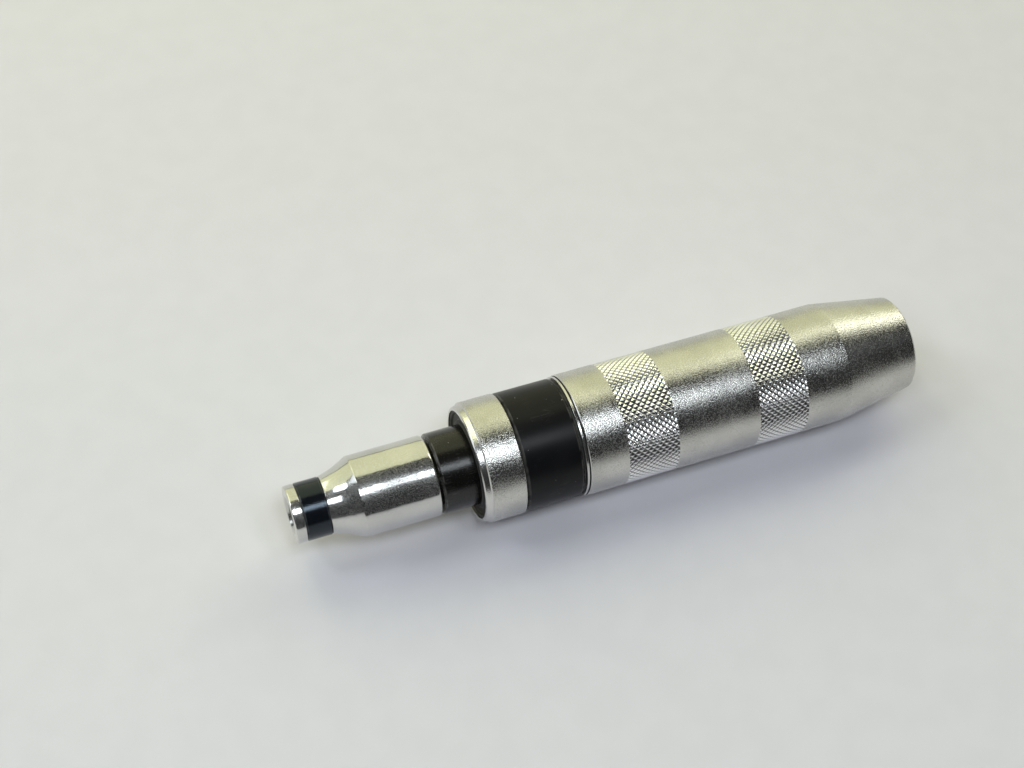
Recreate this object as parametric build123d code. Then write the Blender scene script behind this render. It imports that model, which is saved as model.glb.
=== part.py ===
from build123d import *

import math
import os

# Hand impact driver. The user holds the barrel and hits its struck face with a hammer.
# The barrel then runs forward over a sprung spindle, a cross pin in V-shaped cam slots
# turns the spindle, and the spindle turns the bit holder on its square.
# The tool lies along X in millimetres. The origin is the middle of the struck face,
# +X runs out of that face, and the bit end is toward -X.
# Values ending in _at are distances from the struck face toward the bit end.

# Fits and small clearances shared by the mating pieces
running_gap = 0.05
tight_gap = 0.03
face_gap = 0.05
cut_over = 2.0

# Barrel: one steel turning with a solid head and a blind bore
barrel_length = 97.8
barrel_r = 16.5
barrel_wall = 3.97
struck_chamfer = 0.6
taper_length = 21.6
taper_drop = 3.6
head_thickness = 22.0
chamber_step = 0.93
mouth_lip_width = 0.6
mouth_lip_drop = 0.2
mouth_groove_width = 0.4
mouth_groove_depth = 0.6
mouth_chamfer = 0.3

# Cam sleeve: the black collar in front of the barrel and its slotted spigot inside it
collar_drop = 0.45
collar_length = 15.7
collar_chamfer = 0.5
collar_wall = 2.15
spigot_length = 37.7
spigot_wall = 4.45
spindle_bore_chamfer = 0.6

# Blow and turn
travel = 8.0
turn_deg = 28.0
slot_clearance = 0.1
stroke_spare = 0.3
leg_steps = 4

# Seal between the barrel's mouth and the collar
seal_thickness = 0.5
seal_inset = 0.7

# Key pins and wire rings that hold the sleeve in the barrel and the cap in the collar
key_r = 1.5
key_length = 8.0
sleeve_ring_wire_r = 0.7
sleeve_ring_setback = 6.0
cap_ring_wire_r = 0.55
cap_ring_setback = 1.6
ring_opening_deg = 14.0

# Front cap: the chrome ring
cap_drop = 0.25
cap_length = 11.1
cap_wall = 3.02
cap_gap = 0.2
cap_spigot_length = 3.2
cap_rear_chamfer = 0.25
cap_step_drop = 0.4
cap_step_width = 0.3
cap_band_width = 1.3
cap_band_drop = 0.35
cap_nose_chamfer = 0.3
wiper_width = 3.8
wiper_depth = 2.5
wiper_recess = 0.3

# Spindle: shaft, shoulder, black boss and 1/2 inch drive square
boss_show = 9.4
boss_edge = 0.5
shoulder_clearance = 0.6
shoulder_length = 2.8
shoulder_chamfer = 0.3
shaft_chamfer = 0.8
square_af = 12.7
square_length = 15.0
square_corner_r = 8.6
square_chamfer = 1.0
pin_r = 2.5
pin_setback = 20.2
pin_end_gap = 0.5
pin_chamfer = 0.4

# Spring and what it bears on
thrust_thickness = 1.1
thrust_inset = 0.2
thrust_hole_r = 3.0
seat_thickness = 3.0
seat_clearance = 0.4
seat_hole_r = 2.5
pilot_length = 6.5
pilot_gap = 0.3
shim_thickness = 1.5
shim_hole_r = 4.0
spring_wire_r = 1.5
spring_clearance = 1.1
spring_turns = 6

# Ball on the drive square and the spring behind it
drive_ball_r = 1.7
drive_ball_setback = 7.3
drive_ball_travel = 0.6
drive_spring_wire_r = 0.2
drive_spring_mean_r = 1.2
drive_spring_length = 3.2
drive_spring_turns = 3

# Bit holder: square socket behind, hexagon socket in front
holder_gap = 0.7
holder_r = 10.8
holder_body_length = 20.2
holder_edge_r = 0.6
square_play = 0.1
socket_depth = 16.1
socket_chamfer = 0.4
flare_length = 8.0
flare_sag = 0.35
neck_outer_r = 7.65
neck_groove_depth = 1.45
neck_length = 6.7
tip_length = 2.6
tip_chamfer = 0.4
hex_af = 8.0
hex_depth = 17.4
hex_chamfer = 0.6

# Spring sleeve round the neck and the ball that it keeps in the hexagon's wall
sleeve_side_gap = 0.1
sleeve_slit = 0.8
sleeve_edge = 0.25
bit_ball_reach = 0.5
bit_ball_proud = 0.3
bit_ball_travel = 0.5

# Places that follow from the sizes above
struck_face_r = barrel_r - taper_drop
bore_r = barrel_r - barrel_wall
chamber_r = bore_r - chamber_step
spigot_r = bore_r - tight_gap
collar_r = barrel_r - collar_drop
counterbore_r = collar_r - collar_wall
cap_r = barrel_r - cap_drop
cap_spigot_r = counterbore_r - tight_gap
cap_bore_r = cap_spigot_r - cap_wall
boss_r = cap_bore_r - running_gap
wiper_r = boss_r + wiper_width
shoulder_r = counterbore_r - shoulder_clearance
sleeve_bore_r = spigot_r - spigot_wall
shaft_r = sleeve_bore_r - running_gap
sleeve_ring_r = spigot_r + tight_gap / 2
collar_at = barrel_length + seal_thickness
collar_end_at = collar_at + collar_length
spigot_end_at = collar_at - spigot_length
step_at = spigot_end_at - face_gap
cap_at = collar_end_at + cap_gap
cap_end_at = cap_at + cap_length
cap_spigot_at = cap_at - cap_spigot_length
cap_ring_r = counterbore_r - tight_gap / 2
cap_ring_at = collar_end_at - cap_ring_setback
sleeve_ring_at = collar_at - sleeve_ring_setback
shoulder_front_at = cap_spigot_at - face_gap
shoulder_rear_at = shoulder_front_at - shoulder_length
counterbore_at = shoulder_rear_at - travel - stroke_spare
boss_end_at = cap_end_at + boss_show
pin_at = shoulder_rear_at - pin_setback
pin_half = spigot_r - pin_end_gap
slot_half = pin_r * math.hypot(1, spigot_r * math.radians(turn_deg) / travel) + slot_clearance
slot_reach = 2 * (spigot_r + cut_over)
shaft_end_at = spigot_end_at - face_gap
thrust_at = shaft_end_at - face_gap
seat_at = thrust_at - thrust_thickness - face_gap
thrust_r = shaft_r - thrust_inset
seat_r = chamber_r - seat_clearance
seat_end_at = seat_at - seat_thickness
spring_mean_r = chamber_r - spring_clearance - spring_wire_r
spring_inner_r = spring_mean_r - spring_wire_r
shim_at = head_thickness + face_gap + shim_thickness
square_end_at = boss_end_at + square_length
drive_ball_at = boss_end_at + drive_ball_setback
drive_hole_r = drive_ball_r + running_gap
drive_ball_z = square_af / 2 + square_play / 2 - drive_ball_r
drive_spring_top_z = drive_ball_z - drive_ball_r - face_gap
drive_hole_floor_z = drive_spring_top_z - drive_spring_length - face_gap
holder_at = boss_end_at + holder_gap
holder_body_end_at = holder_at + holder_body_length
neck_at = holder_body_end_at + flare_length
neck_end_at = neck_at + neck_length
tip_end_at = neck_end_at + tip_length
hex_floor_at = tip_end_at - hex_depth
neck_core_r = neck_outer_r - neck_groove_depth
bit_ball_at = (neck_at + neck_end_at) / 2
bit_ball_low_z = hex_af / 2 - bit_ball_reach
bit_ball_high_z = neck_core_r + bit_ball_proud
bit_ball_r = (bit_ball_high_z - bit_ball_low_z) / 2
bit_ball_z = (bit_ball_high_z + bit_ball_low_z) / 2
bit_hole_r = bit_ball_r + running_gap


def turned(*points):
    """Solid turned about the tool's axis from (distance from struck face, radius) points."""
    return revolve(make_face(Polyline(*[(-at, r) for at, r in points], close=True)), Axis.X)


def tube(near_at, far_at, outer_r, inner_r):
    """Plain ring or tube on the tool's axis."""
    return turned((near_at, inner_r), (near_at, outer_r), (far_at, outer_r), (far_at, inner_r))


def on_axis(at, shape, angle=0):
    """Shape drawn round the origin in the YZ plane or along Z, set at a place on the axis."""
    return Pos(-at, 0, 0) * Rot(angle, 0, 0) * shape


def wire_ring(at, mean_r, wire_r, opening_deg=0):
    """Round-wire ring about the tool's axis, open at the bottom by the given angle."""
    section = Pos(-at, mean_r, 0) * Circle(wire_r)
    ring = revolve(section, Axis.X, 360 - opening_deg)
    return Rot(opening_deg / 2 - 90, 0, 0) * ring


def coil(mean_r, wire_r, length, turns):
    """Round-wire coil spring along +Z from zero, with its length over the wire."""
    rise = (length - 2 * wire_r) / turns
    steps = 4 * turns

    def point(step):
        angle = step * math.tau / 4
        return Vector(mean_r * math.cos(angle), mean_r * math.sin(angle), wire_r + rise * step / 4)

    def heading(step):
        angle = step * math.tau / 4
        run = mean_r * math.tau
        return Vector(-run * math.sin(angle), run * math.cos(angle), rise).normalized()

    arcs = []
    for step in range(steps):
        start, end = point(step), point(step + 1)
        out, back = heading(step), heading(step + 1)
        # Two arcs that share a tangent where they meet: the handle length solves
        # |end - start - handle * (out + back)| = 2 * handle
        span, both = end - start, out + back
        a, b, c = both.dot(both) - 4, -2 * span.dot(both), span.dot(span)
        handle = (-b - math.sqrt(b * b - 4 * a * c)) / (2 * a)
        middle = (start + out * handle + end - back * handle) * (1 / 2)
        across = (end - back * handle - start - out * handle).normalized()
        arcs.append(TangentArc(start, middle, tangent=out))
        arcs.append(TangentArc(middle, end, tangent=across))
    path = Wire(arcs)
    section = Plane(origin=point(0), z_dir=heading(0)) * Circle(wire_r)
    return sweep(section, path=path)


def square_bar(near_at, far_at, across_flats):
    """Square bar on the tool's axis."""
    bar = extrude(Plane.YZ * Rectangle(across_flats, across_flats), far_at - near_at)
    return Pos(-far_at, 0, 0) * bar


def hexagon(near_at, far_at, across_flats):
    """Hexagon bar on the tool's axis with a flat on top."""
    outline = RegularPolygon(across_flats / 2, 6, major_radius=False)
    bar = extrude(Plane.YZ * outline, far_at - near_at)
    return Pos(-far_at, 0, 0) * bar


def key_pin(angle, r, near_at, far_at):
    """Pin along the axis, half in the spigot and half in the barrel's bore."""
    pin = extrude(Plane.YZ * Circle(r), far_at - near_at)
    return Rot(angle, 0, 0) * (Pos(-far_at, spigot_r, 0) * pin)


def make_barrel():
    slope = (barrel_r - struck_face_r) / taper_length
    lip_r = barrel_r - mouth_lip_drop
    groove_r = barrel_r - mouth_groove_depth
    lip_at = barrel_length - mouth_lip_width
    groove_at = lip_at - mouth_groove_width
    edge = mouth_lip_drop
    body = turned(
        (0, 0),
        (0, struck_face_r - struck_chamfer),
        (struck_chamfer, struck_face_r + struck_chamfer * slope),
        (taper_length, barrel_r),
        (groove_at - edge, barrel_r),
        (groove_at, barrel_r - edge),
        (groove_at, groove_r),
        (lip_at, groove_r),
        (lip_at, lip_r),
        (barrel_length, lip_r),
        (barrel_length, bore_r + mouth_chamfer),
        (barrel_length - mouth_chamfer, bore_r),
        (step_at, bore_r),
        (step_at, chamber_r),
        (head_thickness, chamber_r),
        (head_thickness, 0),
    )
    for angle in (0, 180):
        body -= key_pin(angle, key_r + tight_gap, step_at, barrel_length + cut_over)
    return body - wire_ring(sleeve_ring_at, sleeve_ring_r, sleeve_ring_wire_r + running_gap)


def cam_leg(side):
    """Cutter for one leg of the V: a slot that turns as it runs back."""
    slot = Plane.YZ * Rectangle(2 * slot_half, slot_reach)
    shares = [step / leg_steps for step in range(leg_steps + 1)]
    sections = [on_axis(pin_at - travel * share, slot, side * turn_deg * share) for share in shares]
    end = Cylinder(slot_half, slot_reach)
    return loft(sections, ruled=True) + on_axis(pin_at - travel, end, side * turn_deg)


def make_cam_sleeve():
    body = turned(
        (spigot_end_at, sleeve_bore_r + spindle_bore_chamfer),
        (spigot_end_at, spigot_r - spindle_bore_chamfer),
        (spigot_end_at + spindle_bore_chamfer, spigot_r),
        (collar_at, spigot_r),
        (collar_at, collar_r - collar_chamfer),
        (collar_at + collar_chamfer, collar_r),
        (collar_end_at - collar_chamfer, collar_r),
        (collar_end_at, collar_r - collar_chamfer),
        (collar_end_at, counterbore_r),
        (counterbore_at, counterbore_r),
        (counterbore_at, sleeve_bore_r),
        (spigot_end_at + spindle_bore_chamfer, sleeve_bore_r),
    )
    body -= on_axis(pin_at, Cylinder(slot_half, slot_reach))
    for side in (1, -1):
        body -= cam_leg(side)
    for angle in (0, 180):
        key_end_at = spigot_end_at + key_length + face_gap
        body -= key_pin(angle, key_r + tight_gap, spigot_end_at - cut_over, key_end_at)
    body -= wire_ring(sleeve_ring_at, sleeve_ring_r, sleeve_ring_wire_r + running_gap)
    return body - wire_ring(cap_ring_at, cap_ring_r, cap_ring_wire_r + running_gap)


def make_sleeve_keys():
    pins = [key_pin(angle, key_r, spigot_end_at, spigot_end_at + key_length) for angle in (0, 180)]
    return Compound(pins)


def make_sleeve_lock_ring():
    return wire_ring(sleeve_ring_at, sleeve_ring_r, sleeve_ring_wire_r, ring_opening_deg)


def make_mouth_seal():
    return tube(
        barrel_length + tight_gap, collar_at - tight_gap, collar_r - seal_inset, spigot_r + tight_gap
    )


def make_front_cap():
    step_r = cap_r - cap_step_drop
    nose_r = step_r - cap_band_drop
    nose_at = cap_end_at - cap_nose_chamfer
    band_at = nose_at - cap_band_width
    body = turned(
        (cap_spigot_at, cap_bore_r),
        (cap_spigot_at, cap_spigot_r),
        (cap_at, cap_spigot_r),
        (cap_at, cap_r - cap_rear_chamfer),
        (cap_at + cap_rear_chamfer, cap_r),
        (band_at - cap_step_width, cap_r),
        (band_at, step_r),
        (nose_at, nose_r),
        (cap_end_at, nose_r - cap_nose_chamfer),
        (cap_end_at, wiper_r),
        (cap_end_at - wiper_depth, wiper_r),
        (cap_end_at - wiper_depth, cap_bore_r),
    )
    return body - wire_ring(cap_ring_at, cap_ring_r, cap_ring_wire_r + running_gap)


def make_cap_lock_ring():
    return wire_ring(cap_ring_at, cap_ring_r, cap_ring_wire_r, ring_opening_deg)


def make_wiper_seal():
    return tube(
        cap_end_at - wiper_depth + tight_gap,
        cap_end_at - wiper_recess,
        wiper_r - tight_gap,
        cap_bore_r,
    )


def make_spindle():
    body = turned(
        (shaft_end_at, 0),
        (shaft_end_at, shaft_r - shaft_chamfer),
        (shaft_end_at + shaft_chamfer, shaft_r),
        (shoulder_rear_at, shaft_r),
        (shoulder_rear_at, shoulder_r - shoulder_chamfer),
        (shoulder_rear_at + shoulder_chamfer, shoulder_r),
        (shoulder_front_at, shoulder_r),
        (shoulder_front_at, boss_r),
        (boss_end_at - boss_edge, boss_r),
        (boss_end_at, boss_r - boss_edge),
        (boss_end_at, 0),
    )
    square = square_bar(boss_end_at - boss_edge, square_end_at, square_af)
    square &= turned(
        (boss_end_at - boss_edge, 0),
        (boss_end_at - boss_edge, square_corner_r),
        (square_end_at - square_chamfer, square_corner_r),
        (square_end_at, square_corner_r - square_chamfer),
        (square_end_at, 0),
    )
    body += square
    body -= on_axis(pin_at, Cylinder(pin_r + tight_gap, 2 * (shaft_r + cut_over)))
    hole_height = square_af / 2 + cut_over - drive_hole_floor_z
    hole = Pos(0, 0, drive_hole_floor_z + hole_height / 2) * Cylinder(drive_hole_r, hole_height)
    return body - on_axis(drive_ball_at, hole)


def make_cross_pin():
    pin = Cylinder(pin_r, 2 * pin_half)
    pin = chamfer(pin.edges().filter_by(GeomType.CIRCLE), pin_chamfer)
    return on_axis(pin_at, pin)


def make_thrust_washer():
    return tube(thrust_at - thrust_thickness, thrust_at, thrust_r, thrust_hole_r)


def make_spring_seat():
    pilot_r = spring_inner_r - pilot_gap
    return turned(
        (seat_at, seat_hole_r),
        (seat_at, seat_r),
        (seat_end_at, seat_r),
        (seat_end_at, pilot_r),
        (seat_end_at - pilot_length, pilot_r),
        (seat_end_at - pilot_length, seat_hole_r),
    )


def make_spring_shim():
    return tube(head_thickness + face_gap, shim_at, seat_r, shim_hole_r)


def make_main_spring():
    length = seat_end_at - shim_at - 2 * face_gap
    spring = coil(spring_mean_r, spring_wire_r, length, spring_turns)
    return Pos(-(seat_end_at - face_gap), 0, 0) * Rot(0, 90, 0) * spring


def make_drive_ball():
    return on_axis(drive_ball_at, Pos(0, 0, drive_ball_z) * Sphere(drive_ball_r))


def make_drive_ball_spring():
    spring = coil(drive_spring_mean_r, drive_spring_wire_r, drive_spring_length, drive_spring_turns)
    return on_axis(drive_ball_at, Pos(0, 0, drive_hole_floor_z + face_gap) * spring)


def make_bit_holder():
    rear = -holder_at
    body_end = (-holder_body_end_at, holder_r)
    flare_end = (-neck_at, neck_outer_r)
    edge_top = (rear - holder_edge_r, holder_r)
    outline = [
        Line((rear, 0), (rear, holder_r - holder_edge_r)),
        RadiusArc((rear, holder_r - holder_edge_r), edge_top, -holder_edge_r),
        Line(edge_top, body_end),
        SagittaArc(body_end, flare_end, flare_sag),
        Polyline(
            flare_end,
            (-neck_at, neck_core_r),
            (-neck_end_at, neck_core_r),
            (-neck_end_at, neck_outer_r - sleeve_edge),
            (-neck_end_at - sleeve_edge, neck_outer_r),
            (-tip_end_at + tip_chamfer, neck_outer_r),
            (-tip_end_at, neck_outer_r - tip_chamfer),
            (-tip_end_at, 0),
            (rear, 0),
        ),
    ]
    body = revolve(make_face(outline), Axis.X)
    socket_af = square_af + 2 * square_play
    body -= square_bar(holder_at - cut_over, holder_at + socket_depth, socket_af)
    lead_r = socket_af / math.sqrt(2)
    body -= turned(
        (holder_at, 0),
        (holder_at, lead_r),
        (holder_at + socket_chamfer, lead_r - socket_chamfer),
        (holder_at + socket_chamfer, 0),
    )
    body -= hexagon(hex_floor_at, tip_end_at + cut_over, hex_af)
    mouth_r = hex_af / math.sqrt(3) + tip_chamfer
    body -= turned(
        (tip_end_at, 0),
        (tip_end_at, mouth_r),
        (tip_end_at - hex_chamfer, mouth_r - hex_chamfer),
        (tip_end_at - hex_chamfer, 0),
    )
    hole = Pos(0, 0, neck_core_r / 2 + cut_over) * Cylinder(bit_hole_r, neck_core_r)
    return body - on_axis(bit_ball_at, hole)


def make_neck_sleeve():
    near = neck_at + sleeve_side_gap
    far = neck_end_at - sleeve_side_gap
    inner_r = neck_core_r + running_gap
    body = turned(
        (near, inner_r),
        (near, neck_outer_r - sleeve_edge),
        (near + sleeve_edge, neck_outer_r),
        (far - sleeve_edge, neck_outer_r),
        (far, neck_outer_r - sleeve_edge),
        (far, inner_r),
    )
    width = far - near + cut_over
    body -= on_axis((near + far) / 2, Pos(0, 0, -neck_outer_r) * Box(width, sleeve_slit, 2 * inner_r))
    dimple_top = bit_ball_high_z + bit_ball_travel + running_gap
    dimple = Pos(0, 0, dimple_top / 2) * Cylinder(bit_hole_r, dimple_top)
    return body - on_axis(bit_ball_at, dimple)


def make_bit_ball():
    return on_axis(bit_ball_at, Pos(0, 0, bit_ball_z) * Sphere(bit_ball_r))


pieces = {
    "barrel": make_barrel,
    "cam_sleeve": make_cam_sleeve,
    "sleeve_keys": make_sleeve_keys,
    "sleeve_lock_ring": make_sleeve_lock_ring,
    "mouth_seal": make_mouth_seal,
    "front_cap": make_front_cap,
    "cap_lock_ring": make_cap_lock_ring,
    "wiper_seal": make_wiper_seal,
    "spindle": make_spindle,
    "cross_pin": make_cross_pin,
    "thrust_washer": make_thrust_washer,
    "spring_seat": make_spring_seat,
    "spring_shim": make_spring_shim,
    "main_spring": make_main_spring,
    "drive_detent_ball": make_drive_ball,
    "drive_detent_spring": make_drive_ball_spring,
    "bit_holder": make_bit_holder,
    "neck_spring_sleeve": make_neck_sleeve,
    "bit_detent_ball": make_bit_ball,
}

os.makedirs("parts", exist_ok=True)
for name, make in pieces.items():
    export_step(make(), f"parts/{name}.step")
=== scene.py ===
import math

import bmesh
import bpy
import numpy as np
from mathutils import Matrix, Vector


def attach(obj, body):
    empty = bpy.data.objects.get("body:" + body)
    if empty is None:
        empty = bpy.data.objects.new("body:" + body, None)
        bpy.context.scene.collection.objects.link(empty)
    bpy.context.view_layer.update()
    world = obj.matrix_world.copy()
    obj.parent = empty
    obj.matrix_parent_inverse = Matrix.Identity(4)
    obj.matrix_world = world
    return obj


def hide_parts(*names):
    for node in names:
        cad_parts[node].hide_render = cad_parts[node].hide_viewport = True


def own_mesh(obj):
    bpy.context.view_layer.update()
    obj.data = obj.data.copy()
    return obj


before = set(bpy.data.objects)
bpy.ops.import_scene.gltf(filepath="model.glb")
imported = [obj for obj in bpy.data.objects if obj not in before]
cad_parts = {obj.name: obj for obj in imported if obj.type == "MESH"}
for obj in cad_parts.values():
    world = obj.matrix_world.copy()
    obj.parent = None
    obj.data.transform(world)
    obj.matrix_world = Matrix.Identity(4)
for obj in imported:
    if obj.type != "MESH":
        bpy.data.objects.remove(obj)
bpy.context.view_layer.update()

# Barrel: the thick steel tube that the hand holds and the hammer hits. One turning with a solid
# head, a tapered struck end, a blind bore, and two bands rolled for the knurl. It is blasted to a
# fine grain and satin chrome plated, and bright where its edges have been handled.
mm = 0.001
barrel_r = 16.5
struck_r, struck_edge_at, struck_edge_r = 12.3, 0.6, 13.0
taper_end_at = 21.6
knurl_depth, knurl_width = 0.42, 14.16
rear_knurl_at, front_knurl_at = 34.5, 71.9
lip_at, lip_r = 96.6, 16.3
groove_at, groove_end_at, groove_r = 96.8, 97.2, 15.9
mouth_at, mouth_r, mouth_end_at = 97.8, 12.83, 97.5
bore_r, bore_floor_at = 12.53, 60.55
spring_room_r, head_at = 11.6, 22.0
lock_ring_at, lock_wire_r = 92.3, 0.75
key_hole_r, key_from_axis = 1.53, 12.5


def softened(outline, steps=4, beside=0.25, most=0.45):
    """Rings of (distance from the struck face, radius, wear) from outline points of (distance,
    radius, corner radius) in mm. Corners are rounded over at most that share of their sides, and
    wear is 1 on them and 0 just beside."""
    rings = []
    for i, (at, r, corner) in enumerate(outline):
        if not corner:
            rings.append((at, r, 0.0))
            continue
        here = Vector((at, r))
        before = Vector(outline[i - 1][:2]) - here
        after = Vector(outline[(i + 1) % len(outline)][:2]) - here
        reach = corner * math.tan((math.pi - before.angle(after)) / 2)
        reach = min(reach, most * before.length, most * after.length)
        if before.length > 2 * (reach + beside):
            rings.append((*(here + before.normalized() * (reach + beside)), 0.0))
        start, end = here + before.normalized() * reach, here + after.normalized() * reach
        for step in range(steps + 1):
            share = step / steps
            rings.append((*start.lerp(here, share).lerp(here.lerp(end, share), share), 1.0))
        if after.length > 2 * (reach + beside):
            rings.append((*(here + after.normalized() * (reach + beside)), 0.0))
    return rings


merge_gap = 0.0005 * mm


def closed(mesh):
    """Merges a mesh's doubles and points its faces outward."""
    shape = bmesh.new()
    shape.from_mesh(mesh)
    bmesh.ops.remove_doubles(shape, verts=shape.verts, dist=merge_gap)
    bmesh.ops.recalc_face_normals(shape, faces=shape.faces)
    if shape.calc_volume(signed=True) < 0:
        bmesh.ops.reverse_faces(shape, faces=shape.faces)
    shape.to_mesh(mesh)
    shape.free()


def placed(name, mesh):
    """Object at the origin with this mesh."""
    piece = bpy.data.objects.new(name, mesh)
    bpy.context.scene.collection.objects.link(piece)
    return piece


def turned(name, rings, around=240):
    """Closed piece round the tool's axis. A ring is (distance, radius, wear) in mm, and distance
    and radius may be one value for each angle. Rings end on the axis or close on themselves."""
    angles = np.arange(around) * math.tau / around
    places, wear = [], []
    for at, r, worn in rings:
        at, r = at + 0 * angles, r + 0 * angles
        places.append(np.column_stack((-at, r * np.cos(angles), r * np.sin(angles))) * mm)
        wear += [worn] * around
    pairs = [(i, i + 1) for i in range(len(rings) - 1)]
    if np.max(rings[0][1]) > 0:
        pairs.append((len(rings) - 1, 0))
    sides = [(a, (a + 1) % around) for a in range(around)]
    faces = [
        (i * around + a, i * around + b, j * around + b, j * around + a)
        for i, j in pairs for a, b in sides
    ]
    mesh = bpy.data.meshes.new(name)
    mesh.from_pydata(np.concatenate(places).tolist(), [], faces)
    mesh.attributes.new("wear", "FLOAT", "POINT").data.foreach_set("value", wear)
    closed(mesh)
    return placed(name, mesh)


def drilled(piece, r, start, end, around=48):
    """Cuts a round hole or groove between two points in mm."""
    start, end = Vector(start) * mm, Vector(end) * mm
    turn = (end - start).to_track_quat("Z", "Y").to_matrix().to_4x4()
    shape = bmesh.new()
    bmesh.ops.create_cone(
        shape, cap_ends=True, segments=around, radius1=r * mm, radius2=r * mm,
        depth=(end - start).length, matrix=Matrix.Translation((start + end) / 2) @ turn,
    )
    mesh = bpy.data.meshes.new("drill")
    shape.to_mesh(mesh)
    shape.free()
    drill = placed("drill", mesh)
    cut = piece.modifiers.new("cut", "BOOLEAN")
    cut.object, cut.operation, cut.solver = drill, "DIFFERENCE", "MANIFOLD"
    bpy.context.view_layer.update()
    seen = piece.evaluated_get(bpy.context.evaluated_depsgraph_get())
    result = bpy.data.meshes.new_from_object(seen)
    piece.modifiers.clear()
    piece.data = result
    bpy.data.objects.remove(drill)


def trued(piece, split_deg=30, most_sideways=0.08):
    """Gives each corner of a turned mesh the normal of the real turned surface, so that polished
    metal mirrors without facets. Faces share a normal only where the edge between them is soft."""
    mesh = piece.data
    count = len(mesh.polygons)
    verts, normal = np.empty(len(mesh.vertices) * 3), np.empty(count * 3)
    centre, area = np.empty(count * 3), np.empty(count)
    total, vert = np.empty(count, int), np.empty(len(mesh.loops), int)
    mesh.vertices.foreach_get("co", verts)
    mesh.polygons.foreach_get("normal", normal)
    mesh.polygons.foreach_get("center", centre)
    mesh.polygons.foreach_get("area", area)
    mesh.polygons.foreach_get("loop_total", total)
    mesh.loops.foreach_get("vertex_index", vert)
    verts, normal, centre = verts.reshape(-1, 3), normal.reshape(-1, 3), centre.reshape(-1, 3)
    face = np.repeat(np.arange(count), total)

    def outward(points):
        angle = np.arctan2(points[:, 2], points[:, 1])
        return np.column_stack((0 * angle, np.cos(angle), np.sin(angle)))

    def unit(vectors):
        return vectors / np.maximum(np.linalg.norm(vectors, axis=1), 1e-12)[:, None]

    radial = outward(centre)
    out = (normal * radial).sum(1)
    sideways = normal[:, 2] * radial[:, 1] - normal[:, 1] * radial[:, 2]
    is_turned = np.abs(sideways) < most_sideways
    # A turned face leans along the axis and outward, and any other face in x, y and z
    lean = np.where(is_turned[:, None], np.column_stack((normal[:, 0], out, 0 * out)), normal)
    lean = unit(lean)
    # Every pair of corners at one vertex
    order = np.argsort(vert, kind="stable")
    many = np.bincount(vert, minlength=len(verts))
    first = np.cumsum(many) - many
    repeats = many[vert[order]]
    one = np.repeat(np.arange(len(order)), repeats)
    nth = np.arange(len(one)) - np.repeat(np.cumsum(repeats) - repeats, repeats)
    other = order[first[vert[order[one]]] + nth]
    one = order[one]
    a, b = face[one], face[other]
    alike = (lean[a] * lean[b]).sum(1) > math.cos(math.radians(split_deg))
    weight = (area[b] * alike * (is_turned[a] == is_turned[b]))[:, None] * lean[b]
    mixed = np.column_stack([np.bincount(one, weight[:, k], len(vert)) for k in range(3)])
    spread = outward(verts[vert])
    on_axis = np.hypot(verts[vert][:, 1], verts[vert][:, 2]) < 2 * merge_gap
    spread[on_axis] = radial[face][on_axis]
    swept = mixed[:, 1:2] * spread
    swept[:, 0] = mixed[:, 0]
    mesh.shade_smooth()
    final = unit(np.where(is_turned[face][:, None], swept, mixed))
    mesh.normals_split_custom_set(final.tolist())
    return piece


def add(tree, kind, inputs=None, **settings):
    """Adds a node with its settings, and gives its inputs their values or links."""
    node = tree.nodes.new(kind)
    for key, value in settings.items():
        setattr(node, key, value)
    for key, value in (inputs or {}).items():
        if isinstance(value, bpy.types.NodeSocket):
            tree.links.new(value, node.inputs[key])
        else:
            node.inputs[key].default_value = value
    return node


def sum_of(tree, operation, *values):
    """Result of one Math node."""
    return add(tree, "ShaderNodeMath", dict(enumerate(values)), operation=operation).outputs[0]


def ramp(tree, value, low, high, start=0.0, end=1.0):
    """Value carried smoothly from the range low to high into the range start to end."""
    places = {"Value": value, "From Min": low, "From Max": high, "To Min": start, "To Max": end}
    eased = add(tree, "ShaderNodeMapRange", places, interpolation_type="SMOOTHSTEP")
    return eased.outputs["Result"]


def effect(name, takes, gives):
    """Shader group with number inputs and outputs: the tree, what it takes and what it gives."""
    tree = bpy.data.node_groups.new(name, "ShaderNodeTree")
    for word, start in takes.items():
        socket = tree.interface.new_socket(word, in_out="INPUT", socket_type="NodeSocketFloat")
        socket.default_value = start
    for word in gives:
        tree.interface.new_socket(word, in_out="OUTPUT", socket_type="NodeSocketFloat")
    return tree, tree.nodes.new("NodeGroupInput").outputs, tree.nodes.new("NodeGroupOutput").inputs


def counted_in(tree, size):
    """Object coordinates counted in a size given in mm."""
    place = add(tree, "ShaderNodeTexCoord").outputs["Object"]
    share = sum_of(tree, "DIVIDE", 1 / mm, size)
    counted = add(tree, "ShaderNodeVectorMath", {0: place, "Scale": share}, operation="SCALE")
    return counted.outputs[0]


def noise(tree, place, detail=2.0):
    """Noise about 0.5 with cells one unit wide."""
    values = {"Vector": place, "Scale": 1.0, "Detail": detail}
    return add(tree, "ShaderNodeTexNoise", values).outputs["Fac"]


# Grain all over a surface, from blasting or from slow waves in a polish, in mm
grain_effect, takes, gives = effect(
    "surface_grain", {"Size": 0.4, "Depth": 0.01}, ["Height", "Shade"])
grain_noise = noise(grain_effect, counted_in(grain_effect, takes["Size"]), 1.5)
centred = sum_of(grain_effect, "SUBTRACT", grain_noise, 0.5)
grain_effect.links.new(sum_of(grain_effect, "MULTIPLY", centred, takes["Depth"]), gives["Height"])
grain_effect.links.new(grain_noise, gives["Shade"])

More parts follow.
